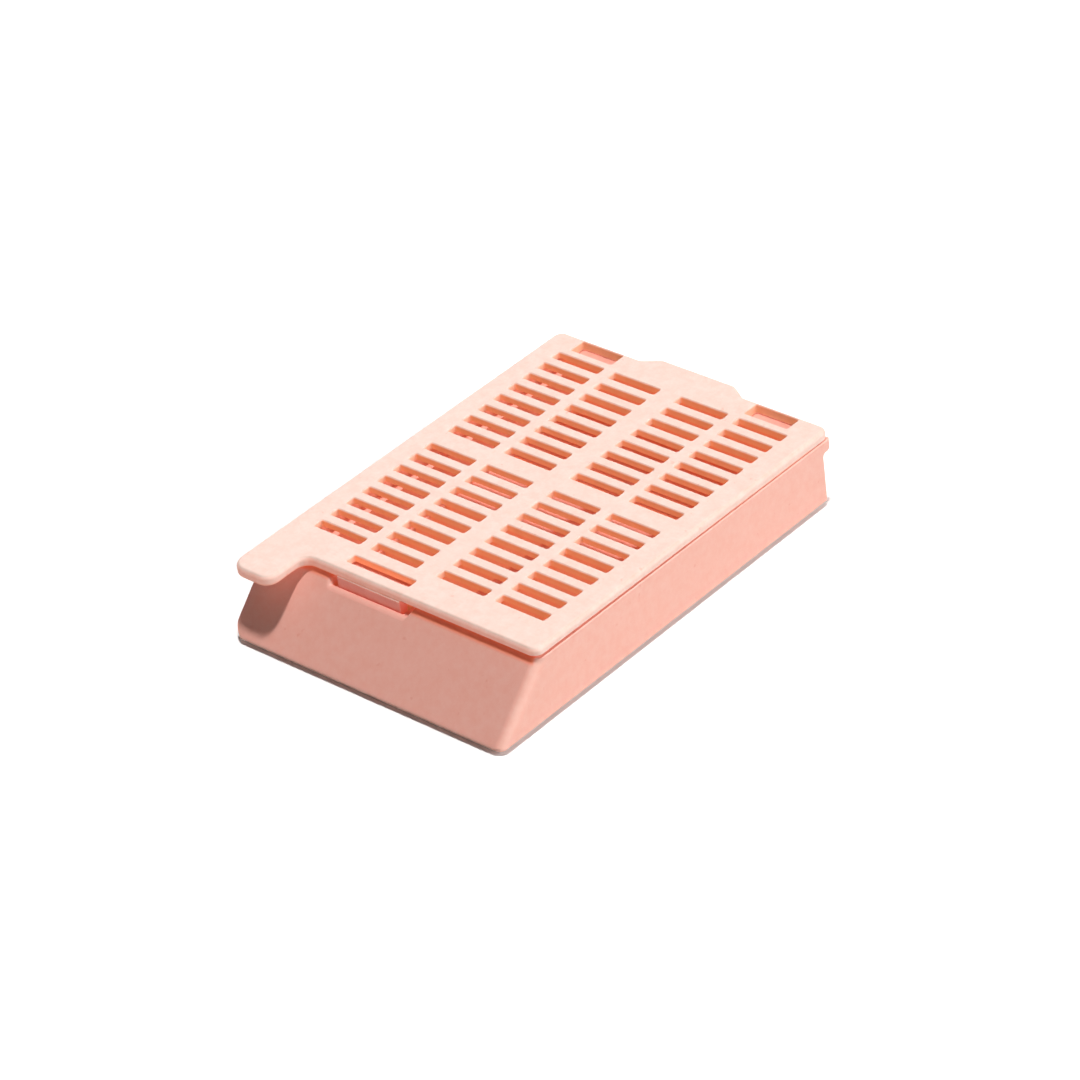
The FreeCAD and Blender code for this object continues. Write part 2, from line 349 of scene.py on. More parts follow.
def discard(thing: Object) -> None:
    """Removes a construction solid and its mesh.

    Args:
        thing: The solid.
    """
    mesh = thing.data
    bpy.data.objects.remove(thing)
    bpy.data.meshes.remove(mesh)


def work_on(solid: Object, join: Join, tool: Object) -> None:
    """Changes a solid by another one, which then goes.

    Args:
        solid: The solid that changes.
        join: How the tool changes it.
        tool: The other solid.
    """
    change = solid.modifiers.new("change", "BOOLEAN")
    change.operation = join.value
    change.solver = "EXACT"
    change.object = tool
    made = baked(solid)
    discard(tool)
    log.debug("%s %s: %d faces", solid.name, join.name, len(made.polygons))


def finish_mesh(solid: Object, name: str, sharp_angle: float = 33.0) -> Object:
    """Cleans a finished solid, scales it to metres and gives it smooth, weighted normals.

    Args:
        solid: The solid, in millimetres.
        name: The name of the finished piece.
        sharp_angle: Faces that meet at more than this stay crisp, in degrees.

    Returns:
        The finished piece.
    """
    work = bmesh.new()
    work.from_mesh(solid.data)
    bmesh.ops.remove_doubles(work, verts=work.verts, dist=0.0008)
    bmesh.ops.dissolve_degenerate(work, dist=0.0004, edges=work.edges)
    bmesh.ops.triangulate(work, faces=[f for f in work.faces if len(f.verts) > 4])
    bmesh.ops.recalc_face_normals(work, faces=work.faces)
    work.to_mesh(solid.data)
    work.free()
    solid.data.transform(Matrix.Scale(MM, 4))
    solid.data.shade_smooth()
    solid.data.set_sharp_from_angle(angle=math.radians(sharp_angle))
    weighted = solid.modifiers.new("weighted", "WEIGHTED_NORMAL")
    weighted.keep_sharp = True
    weighted.weight = 50
    baked(solid).name = name
    solid.name = name
    return solid


# ---- finishes -----------------------------------------------------------------------------

class Sheet:
    """Short calls for laying out a node tree. What goes into a socket is a value or a socket."""

    def __init__(self, tree: NodeTree) -> None:
        """Keeps the tree that nodes go into."""
        self.tree = tree

    def feed(self, node: Node, into: dict[str | int, object]) -> None:
        """Sets or links a node's inputs.

        Args:
            node: The node.
            into: What goes into each of its sockets; a colour is red, green and blue.
        """
        for key, value in into.items():
            socket = node.inputs[key]
            if isinstance(value, NodeSocket):
                self.tree.links.new(value, socket)
            else:
                socket.default_value = (*value, 1.0) if socket.type == "RGBA" else value

    def add(self, kind: str, into: dict[str | int, object] | None = None,
            **settings: object) -> Node:
        """Adds a shader node.

        Args:
            kind: The node's type, without the words that all shader nodes start with.
            into: What goes into its sockets.
            settings: Its plain settings.

        Returns:
            The node.
        """
        node = self.tree.nodes.new("ShaderNode" + kind)
        for key, value in settings.items():
            setattr(node, key, value)
        self.feed(node, into or {})
        return node

    def sum(self, operation: str, *terms: object) -> NodeSocket:
        """Works out one sum."""
        return self.add("Math", dict(enumerate(terms)), operation=operation).outputs[0]

    def vector(self, operation: str, *terms: object) -> Node:
        """Works out one sum of vectors."""
        return self.add("VectorMath", dict(enumerate(terms)), operation=operation)

    def split(self, source: NodeSocket) -> bpy.types.bpy_prop_collection:
        """The X, Y and Z of a vector."""
        return self.add("SeparateXYZ", {0: source}).outputs

    def ramp(self, value: object, low: object, high: object, smooth: bool = True) -> NodeSocket:
        """Rises from 0 to 1 between two values.

        Args:
            value: What is measured.
            low: Where the ramp leaves 0.
            high: Where it reaches 1.
            smooth: Whether both ends are eased.

        Returns:
            The result.
        """
        way = "SMOOTHSTEP" if smooth else "LINEAR"
        into = {"Value": value, "From Min": low, "From Max": high}
        return self.add("MapRange", into, interpolation_type=way).outputs["Result"]

    def noise(self, where: NodeSocket, scale: object, detail: float,
              roughness: float = 0.5) -> NodeSocket:
        """Adds a noise texture.

        Args:
            where: The place that it is read at.
            scale: How many patches there are in a metre.
            detail: How many finer layers it has.
            roughness: How strong the finer layers are.

        Returns:
            The noise, about 0.5 on average.
        """
        into = {"Vector": where, "Scale": scale, "Detail": detail, "Roughness": roughness}
        return self.add("TexNoise", into).outputs["Fac"]

    def blend(self, amount: NodeSocket, first: object, second: object,
              mode: str = "MIX") -> NodeSocket:
        """Mixes two colours.

        Args:
            amount: How much of the second colour shows.
            first: A colour, or a socket that gives one.
            second: The other colour or socket.
            mode: MIX, or MULTIPLY to tint the first colour by the second.

        Returns:
            The mixed colour.
        """
        mix = self.add("Mix", {"Factor": amount}, data_type="RGBA", blend_type=mode)
        spots = [i for i, socket in enumerate(mix.inputs) if socket.type == "RGBA"]
        self.feed(mix, dict(zip(spots, (first, second))))
        return next(o for o in mix.outputs if o.type == "RGBA")

    def seen_directly(self) -> NodeSocket:
        """Puts out 1 where the camera, a reflection or a see-through part looks.

        Returns:
            The value.
        """
        path = self.add("LightPath")
        found = path.outputs["Is Camera Ray"]
        for other in ("Is Glossy Ray", "Is Transmission Ray"):
            found = self.sum("MAXIMUM", found, path.outputs[other])
        return found


def cleared(holder: Material | World) -> Sheet:
    """Empties a material's or a world's node tree.

    Args:
        holder: The material or the world.

    Returns:
        A sheet to lay its nodes on.
    """
    holder.use_nodes = True
    holder.node_tree.nodes.clear()
    return Sheet(holder.node_tree)


def new_group(name: str, inputs: dict[str, object], outputs: Sequence[str]
              ) -> tuple[Sheet, bpy.types.bpy_prop_collection, Node, bpy.types.bpy_prop_collection]:
    """A shader group with named sockets and the coordinates that it reads.

    Args:
        name: The group's name.
        inputs: Each input's first value: a number or a vector.
        outputs: The names of its outputs, all numbers.

    Returns:
        A sheet to lay nodes on, the group's inputs, the node that its outputs go into, and the
        coordinates.
    """
    group = bpy.data.node_groups.new(name, "ShaderNodeTree")
    for label, value in inputs.items():
        kind = "NodeSocketVector" if isinstance(value, tuple) else "NodeSocketFloat"
        socket = group.interface.new_socket(label, in_out="INPUT", socket_type=kind)
        socket.default_value = value
    for label in outputs:
        group.interface.new_socket(label, in_out="OUTPUT", socket_type="NodeSocketFloat")
    sheet = Sheet(group)
    enter, leave = group.nodes.new("NodeGroupInput"), group.nodes.new("NodeGroupOutput")
    return sheet, enter.outputs, leave, sheet.add("TexCoord").outputs


def mould_grain_group() -> NodeTree:
    """The mould's fine spark-eroded grain, with shallow flow marks and a few specks.

    Returns:
        The group, with a height, a soft mottling and a mask of fine specks.
    """
    sheet, enter, leave, where = new_group(
        "mould grain", {"Grain Size": 0.12, "Flow Size": 6.0}, ("Height", "Mottle", "Specks"))
    scales = [sheet.sum("DIVIDE", 1 / MM, enter[label]) for label in ("Grain Size", "Flow Size")]
    grain = sheet.noise(where["Object"], scales[0], 3.0)
    flow = sheet.noise(where["Object"], scales[1], 1.0)
    sheet.feed(leave, {"Height": sheet.sum("MULTIPLY_ADD", flow, 0.35, grain)})
    clouds = sheet.noise(where["Object"], 1 / (0.8 * MM), 4.0, 0.75)
    sheet.feed(leave, {"Mottle": sheet.ramp(clouds, 0.34, 0.66, smooth=False)})
    specks = sheet.noise(where["Object"], 1 / (0.7 * MM), 2.0)
    sheet.feed(leave, {"Specks": sheet.ramp(specks, 0.70, 0.76, smooth=False)})
    return sheet.tree


def rounded_edges_group() -> NodeTree:
    """Mask of the rounded edges, where painted edge light goes: neither square nor slanted faces.

    Returns:
        The group, with one mask.
    """
    sheet, enter, leave, where = new_group(
        "rounded edges", {"Slanted Face": (0.0, 0.0, 1.0)}, ("Mask",))
    size = sheet.split(sheet.vector("ABSOLUTE", where["Normal"]).outputs[0])
    most = sheet.vector("DOT_PRODUCT", where["Normal"], enter["Slanted Face"]).outputs["Value"]
    for axis in "XYZ":
        most = sheet.sum("MAXIMUM", most, size[axis])
    patchy = sheet.noise(where["Object"], 1 / (1.6 * MM), 3.0)
    edge = sheet.ramp(most, 0.985, 0.88)
    sheet.feed(leave, {"Mask": sheet.sum("MULTIPLY", edge, patchy)})
    return sheet.tree


def faced_up_group() -> NodeTree:
    """Mask of the faces that look up when the part lies on its foot, broken up a little.

    Returns:
        The group, with one mask.
    """
    sheet, enter, leave, where = new_group("faces turned up", {"From": 0.3, "To": 0.9}, ("Mask",))
    way = sheet.split(where["Normal"])
    patchy = sheet.noise(where["Object"], 260.0, 2.0)
    shifted = sheet.sum("MULTIPLY_ADD", patchy, 0.12, way["Z"])
    sheet.feed(leave, {"Mask": sheet.ramp(shifted, enter["From"], enter["To"])})
    return sheet.tree


def painted_light_zone_group() -> NodeTree:
    """Mask of the faces inside a box, either all of them or only the upright ones, where painted shade and a
    painted glow go.

    Returns:
        The group, with one mask.
    """
    sheet, enter, leave, where = new_group(
        "painted_zone", {"Middle": (0.0, 0.0, 0.0), "Half Size": (0.01, 0.01, 0.01), "Softness": 0.0001,
                 "Flat Faces": 0.0, "Right Faces": 1.0}, ("Mask",))
    offset = sheet.vector("SUBTRACT", where["Object"], enter["Middle"])
    apart = sheet.vector("ABSOLUTE", offset.outputs[0])
    spare = sheet.split(sheet.vector("SUBTRACT", enter["Half Size"], apart.outputs[0]).outputs[0])
    least = spare["X"]
    for axis in "YZ":
        least = sheet.sum("MINIMUM", least, spare[axis])
    inside = sheet.ramp(least, 0.0, enter["Softness"])
    way = sheet.split(where["Normal"])
    upright = sheet.add("MapRange", {"From Min": 0.8, "From Max": 0.4},
                        interpolation_type="SMOOTHSTEP")
    sheet.feed(upright, {"Value": sheet.sum("ABSOLUTE", way["Z"])})
    turned = sheet.add("MapRange", {"Value": way["X"], "From Min": 0.3, "To Min": 1.0,
                                    "To Max": enter["Right Faces"]})
    kept = sheet.sum("MAXIMUM", upright.outputs["Result"], enter["Flat Faces"])
    kept = sheet.sum("MULTIPLY", kept, turned.outputs["Result"])
    sheet.feed(leave, {"Mask": sheet.sum("MULTIPLY", inside, kept)})
    return sheet.tree


@dataclass(frozen=True)
class Effects:
    """The shader groups that both finishes share."""

    grain: NodeTree
    faced_up: NodeTree
    painted_zone: NodeTree
    edges: NodeTree


@dataclass(frozen=True)
class PaintedLightZone:
    """A box, in millimetres, in which walls take a deeper painted-shade colour and a painted glow that
    stands in for light through the plastic.
    """

    low: Point3
    high: Point3
    # painted shade: the deeper colour that the walls take inside the box
    colour: Point3
    # painted glow: emission inside the box that stands in for light coming through the plastic
    painted_glow: Point3
    softness: float = 0.15
    flat_faces: float = 0.0
    right_faces: float = 1.0

    def mask(self, sheet: Sheet, group: NodeTree) -> NodeSocket:
        """Lays out the zone's mask.

        Args:
            sheet: The material's sheet.
            group: The shared zone group.

        Returns:
            The mask.
        """
        low, high = Vector(self.low), Vector(self.high)
        node = sheet.add("Group", {
            "Middle": (low + high) / 2 * MM, "Half Size": (high - low) / 2 * MM,
            "Softness": self.softness * MM, "Flat Faces": self.flat_faces,
            "Right Faces": self.right_faces}, node_tree=group)
        return node.outputs["Mask"]


@dataclass(frozen=True)
class Acetal:
    """Satin moulded acetal with painted light: a painted top-light tone where it faces up, painted light on
    rounded edges, painted shade and a painted glow in shaded places.
    """

    name: str
    colour: Point3
    # painted top light: the tone that faces looking up take, paler on the lid and darker on the base's
    # writing face, for how light from above falls on them
    painted_top_light: Point3
    painted_light_zones: tuple[PaintedLightZone, ...]
    slanted_face: Point3 = (0.0, 0.0, 1.0)
    # painted edge light: the tone of the rounded edges, a painted highlight on the base and painted shade on
    # the lid
    painted_edge_light: Point3 = (1.0, 0.80, 0.72)
    mottle: Point3 = (0.975, 0.885, 0.855)
    speck: Point3 = (0.95, 0.84, 0.80)
    # painted glow on faces that look down, standing in for light through the plastic
    painted_glow_below: Point3 = (0.0, 0.0, 0.0)
    painted_top_light_from: float = 0.3
    painted_top_light_to: float = 0.9
    roughness: float = 0.45
    grain_mm: float = 0.12
    grain_depth: float = 0.12

    def colours(self, sheet: Sheet, effects: Effects, grit: Node) -> tuple[NodeSocket, NodeSocket]:
        """Lays out the base colour, with its painted light and shade, and the painted glow that stands in
        for light coming through the walls.

        Args:
            sheet: The material's sheet.
            effects: The shared groups.
            grit: The material's grain, whose mottling and specks tint the colour.

        Returns:
            The finished colour and the painted glow.
        """
        # painted top light: faces that look up are blended towards their lit or shaded tone
        up = sheet.add("Group", {"From": self.painted_top_light_from, "To": self.painted_top_light_to},
                       node_tree=effects.faced_up)
        skin = sheet.blend(up.outputs["Mask"], self.colour, self.painted_top_light)
        # painted edge light on the rounded edges
        edges = sheet.add("Group", {"Slanted Face": self.slanted_face}, node_tree=effects.edges)
        skin = sheet.blend(edges.outputs["Mask"], skin, self.painted_edge_light)
        # painted glow below: faces that look down get a faint emission
        down = sheet.add("Group", {"From": -0.3, "To": -0.9}, node_tree=effects.faced_up)
        painted_glow = sheet.blend(down.outputs["Mask"], (0.0, 0.0, 0.0), self.painted_glow_below)
        # each zone paints shade and a glow over the colour so far
        for painted_zone in self.painted_light_zones:
            inside = painted_zone.mask(sheet, effects.painted_zone)
            skin = sheet.blend(inside, skin, painted_zone.colour)
            painted_glow = sheet.blend(inside, painted_glow, painted_zone.painted_glow)
        skin = sheet.blend(grit.outputs["Mottle"], skin, self.mottle, "MULTIPLY")
        return sheet.blend(grit.outputs["Specks"], skin, self.speck, "MULTIPLY"), painted_glow

    def material(self, effects: Effects) -> Material:
        """Makes the material.

        Args:
            effects: The shared groups.

        Returns:
            The material, ready to assign.
        """
        made = bpy.data.materials.new(self.name)
        sheet = cleared(made)
        out = sheet.add("OutputMaterial")
        skin = sheet.add("BsdfPrincipled", {"IOR": 1.48, "Emission Strength": 1.0})
        sheet.feed(out, {"Surface": skin.outputs["BSDF"]})
        grit = sheet.add("Group", {"Grain Size": self.grain_mm}, node_tree=effects.grain)
        height = grit.outputs["Height"]
        colour, painted_glow = self.colours(sheet, effects, grit)
        dull = sheet.add("MapRange", {"Value": height, "To Min": self.roughness - 0.05,
                                      "To Max": self.roughness + 0.08})
        bump = sheet.add("Bump", {"Strength": self.grain_depth, "Distance": 0.02 * MM,
                                  "Height": height})
        # the emission carries the painted glow
        sheet.feed(skin, {"Base Color": colour, "Emission Color": painted_glow,
                          "Roughness": dull.outputs["Result"], "Normal": bump.outputs["Normal"]})
        return made


def dress_piece(piece: Object, material: Material, body: str) -> None:
    """Gives a piece its finish and ties it to the frame.

    Args:
        piece: The finished mesh.
        material: Its finish.
        body: The body that it rides on, and the node that it stands for.
    """
    piece.data.materials.clear()
    piece.data.materials.append(material)
    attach(piece, body)
    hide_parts(body)
    log.info("%s: %d faces", piece.name, len(piece.data.polygons))


# ---- slot lattice -------------------------------------------------------------------------

@dataclass
class SlotLattice:
    """The slots that the lid and the base's floor share."""

    length: float = 4.95
    width: float = 0.92
    corner: float = 0.15
    pitch: float = 1.84
    group_gap: float = 2.9
    rows_per_group: int = 8
    inner_start: float = 1.05
    outer_start: float = 7.1
    center_y: float = 2.4

    def rows(self) -> list[float]:
        """Centre of each row, front to rear."""
        half = [self.group_gap / 2 + i * self.pitch for i in range(self.rows_per_group)]
        return sorted([self.center_y - h for h in half] + [self.center_y + h for h in half])

    def front(self) -> float:
        """Front edge of the first row."""
        return self.rows()[0] - self.width / 2

    def rear(self) -> float:
        """Rear edge of the last row."""
        return self.rows()[-1] + self.width / 2

    def cutters(self, low: End, high: End, outer_end: float) -> Object:
        """One cutter per slot, joined.

        Args:
            low: The cutters' lower end.
            high: The cutters' upper end.
            outer_end: Where the outer slots stop, away from the middle.

        Returns:
            All cutters as one object.
        """
        spans = [(self.inner_start, self.inner_start + self.length), (self.outer_start, outer_end)]
        spans += [(-b, -a) for a, b in spans]
        made = []
        for y in self.rows():
            for a, b in spans:
                outline = box_outline((a, y - self.width / 2), (b, y + self.width / 2), self.corner)
                made.append(extrusion("slot", Facing.PLAN, outline, low, high, 4, 4))
        return joined("slots", made)


# ---- lid ----------------------------------------------------------------------------------

@dataclass
class Lid:
    """The slotted lid with its thumb tab, latch tongue and hinge lug, as one moulding."""

    lattice: SlotLattice
    hinge: Vector
    half_width: float
    tab_front: float
    lug_rear: float
    top: float
    tongue_foot: float
    tab_reach: float = 4.13
    tab_width: float = 4.3
    tab_thickness: float = 0.85
    rim_front: float = 0.62
    rim_rear: float = 0.82
    panel: float = 0.6
    edge_ease: float = 0.35
    lower_ease: float = 0.12
    slot_ease: float = 0.13
    cutter_depth: float = 3.0
    root_depth: float = 0.1
    hook_inset: float = 0.005
    recess_half: float = 12.6
    recess_margin: float = 0.4
    recess_corner: float = 1.0
    window_x: tuple[float, float] = (7.0, 11.4)
    window_width: float = 1.55
    window_strip: float = 0.3
    latch_x: tuple[float, float] = (-6.45, 0.15)
    latch_window_width: float = 0.95
    latch_window_setback: float = 1.15
    latch_lead: float = 0.1
    latch_thickness: float = 0.9
    latch_shoulder: float = 0.75
    bead: float = 0.25
    lug_root: float = 5.4
    lug_tip: float = 3.8
    hook_half: float = 4.3
    hook_inner: float = 0.5
    hook_wrap: float = 150.0

    def __post_init__(self) -> None:
        """Works out the places that follow from the sizes."""
        self.front = self.tab_front + self.tab_reach
        self.rear = self.hinge.y
        self.latch_rear = self.front - self.latch_lead + self.latch_thickness
        self.core = self.top - self.edge_ease - self.root_depth

    def through(self) -> tuple[End, End]:
        """Ends of a cutter through the panel, flared at the lid's top."""
        return End(self.top - self.cutter_depth), End(self.top, -self.slot_ease, OVERRUN)

    def lug_corners(self) -> list[Corner]:
        """Corners of the hinge lug, right to left."""
        return [Corner(self.lug_root, self.rear, 0.6), Corner(self.lug_tip, self.lug_rear, 0.8),
                Corner(-self.lug_tip, self.lug_rear, 0.8), Corner(-self.lug_root, self.rear, 0.6)]

    def plate(self) -> Object:
        """Lid outline with rounded top edge, at the tab's full thickness.

        Returns:
            The plate.
        """
        tab_right = -self.half_width + self.tab_width
        corners = [Corner(-self.half_width, self.rear, 0.8),
                   Corner(-self.half_width, self.tab_front, 1.5),
                   Corner(tab_right, self.tab_front, 1.1), Corner(tab_right, self.front, 1.1),
                   Corner(self.half_width, self.front, 0.8),
                   Corner(self.half_width, self.rear, 0.8)] + self.lug_corners()
        return extrusion("plate", Facing.PLAN, corners,
                         End(self.top - self.tab_thickness, self.lower_ease),
                         End(self.top, self.edge_ease), 10, 7)

    def under_rim(self) -> Object:
        """Space under the lid's tapering rim, leaving the thicker tab and its root.

        Returns:
            The cutter.
        """
        low, far = self.top - 5 * BEYOND, self.lug_rear + BEYOND
        near = self.tab_front - BEYOND
        wide = self.half_width + BEYOND
        profile = [Corner(near, low), Corner(far, low), Corner(far, self.top - self.rim_rear),
                   Corner(self.rear, self.top - self.rim_rear),
                   Corner(self.front, self.top - self.rim_front),
                   Corner(near, self.top - self.rim_front)]
        space = extrusion("under_rim", Facing.SIDE, profile, End(-wide), End(wide), 1)
        pad = extrusion("pad", Facing.PLAN,
                        box_outline((-wide - BEYOND, near - BEYOND),
                                    (self.latch_x[0], self.latch_rear), 0.0),
                        End(low - BEYOND), End(self.top), 1)
        work_on(space, Join.CUT, pad)
        return space

    def openings(self) -> Object:
        """Cutters for the rear windows and the latch window.

        Returns:
            The cutters as one object.
        """
        low, high = self.through()
        a, b = self.window_x
        rear = self.rear - self.window_strip
        front = self.front + self.latch_window_setback
        outlines = [box_outline((a, rear - self.window_width), (b, rear), 0.15),
                    box_outline((-b, rear - self.window_width), (-a, rear), 0.15),
                    box_outline((self.latch_x[0], front),
                                (self.latch_x[1], front + self.latch_window_width), 0.15)]
        return joined("openings", [extrusion("opening", Facing.PLAN, o, low, high, 4, 4)
                                   for o in outlines])

    def recess(self) -> Object:
        """Space under the thinner slotted panel.

        Returns:
            The cutter.
        """
        outline = box_outline((-self.recess_half, self.lattice.front() - self.recess_margin),
                              (self.recess_half, self.lattice.rear() + self.recess_margin),
                              self.recess_corner)
        return extrusion("recess", Facing.PLAN, outline, End(self.top - 5 * BEYOND),
                         End(self.top - self.panel), 6)

    def tongue(self) -> Object:
        """Latch tongue with its bead.

        Returns:
            The tongue.
        """
        lead = self.front - self.latch_lead
        throat = self.front + 5 * CLEAR
        shoulder = self.top - self.latch_shoulder
        foot = self.tongue_foot
        profile = [Corner(lead, foot, 0.25), Corner(self.latch_rear, foot, 0.25),
                   Corner(self.latch_rear, self.core), Corner(throat, self.core),
                   Corner(throat, shoulder, 0.04), Corner(lead, shoulder, 0.06)]
        left, right = self.latch_x
        tongue = extrusion("tongue", Facing.SIDE, profile, End(left, 0.08), End(right, 0.08), 4, 3)
        ring = circle(self.latch_rear, foot + 2 * self.bead, self.bead, 16)
        bead = extrusion("bead", Facing.SIDE, ring, End(left + 0.1), End(right - 0.1), 1)
        work_on(tongue, Join.ADD, bead)
        return tongue

    def hook(self) -> Object:
        """Hook under the lug that wraps the hinge bar from above and behind.

        Returns:
            The hook.
        """
        y0, z0 = self.hinge.y, self.hinge.z
        outer = self.lug_rear - y0 - self.hook_inset

        def on_ring(radius: float, angle: float) -> Corner:
            """Point round the bar, its angle measured from the top towards the rear."""
            turn = math.radians(angle)
            return Corner(y0 + radius * math.sin(turn), z0 + radius * math.cos(turn))

        steps = 12
        around = [on_ring(outer, self.hook_wrap + (90 - self.hook_wrap) * k / steps)
                  for k in range(steps + 1)]
        within = [on_ring(self.hook_inner, self.hook_wrap * k / steps) for k in range(steps + 1)]
        profile = [Corner(y0 - self.hook_inner, z0 + self.hook_inner)] + within + around
        profile += [Corner(y0 + outer, self.core), Corner(y0 - self.hook_inner, self.core)]
        hook = extrusion("hook", Facing.SIDE, profile, End(-self.hook_half), End(self.hook_half), 1)
        lug = self.lug_corners()
        ahead = self.rear - 3 * BEYOND
        footprint = lug + [Corner(-self.lug_root, ahead), Corner(self.lug_root, ahead)]
        prism = extrusion("footprint", Facing.PLAN, footprint, End(z0 - 2.0), End(self.top), 10)
        work_on(hook, Join.KEEP_COMMON, prism)
        return hook

    def build(self) -> Object:
        """The finished lid mesh.

        Returns:
            The piece, in metres.
        """
        lid = self.plate()
        work_on(lid, Join.CUT, self.under_rim())
        work_on(lid, Join.CUT, self.recess())
        outer_end = self.lattice.outer_start + self.lattice.length
        work_on(lid, Join.CUT, self.lattice.cutters(*self.through(), outer_end))
        work_on(lid, Join.CUT, self.openings())
        work_on(lid, Join.ADD, self.tongue())
        work_on(lid, Join.ADD, self.hook())
        return finish_mesh(lid, "lid_moulding")

    def finish(self) -> Acetal:
        """The lid's plastic.

        Returns:
            The finish, whose zones paint shade and a glow on the edges, the slots, the rear windows,
            the rim's underside and the tongue. Later zones lie over earlier ones.
        """
        wide, slotted = 15.0, 13.8
        ahead, behind, slots_end = self.tab_front - BEYOND, self.lug_rear + BEYOND, self.lattice.rear() + 0.3
        skin, rim_low = self.top - 0.03, self.top - self.tab_thickness
        # painted shade and painted glow: each zone darkens and lights its walls for the shade and light
        # trapped there
        edges = PaintedLightZone((-wide, ahead, -BEYOND), (wide, behind, self.top + BEYOND),
                     (1.0, 0.70, 0.61), (0.26, 0.075, 0.045), right_faces=0.0)
        slots = PaintedLightZone((-slotted, self.front + 0.15, 0.0), (slotted, slots_end, skin),
                     (1.0, 0.50, 0.29), (0.18, 0.088, 0.039), right_faces=0.45)
        windows = PaintedLightZone((-slotted, self.rear - 2.2, rim_low), (slotted, self.rear - 0.05, skin),
                       (0.86, 0.50, 0.36), (0.11, 0.065, 0.024))
        rim = PaintedLightZone((-wide, ahead, -BEYOND), (wide, slots_end, rim_low + 0.25),
                   (1.0, 0.44, 0.27), (0.20, 0.06, 0.03), softness=0.25, right_faces=0.8)
        tongue = PaintedLightZone((self.latch_x[0] - 0.3, self.front - 2.0, -BEYOND),
                      (self.latch_x[1] + 0.3, self.front + 0.8, rim_low + 0.15),
                      (1.0, 0.44, 0.36), (0.14, 0.022, 0.016))
        # painted top light, painted edge light and painted glow below are set here
        return Acetal("lid acetal", colour=(1.0, 0.74, 0.65), painted_top_light=(1.0, 0.77, 0.68),
                      painted_light_zones=(edges, slots, windows, rim, tongue),
                      painted_edge_light=(0.86, 0.63, 0.53), painted_glow_below=(0.12, 0.035, 0.02))

    def dress(self, effects: Effects) -> None:
        """Builds and dresses the lid."""
        dress_piece(self.build(), self.finish().material(effects), "lid")


# ---- base ---------------------------------------------------------------------------------

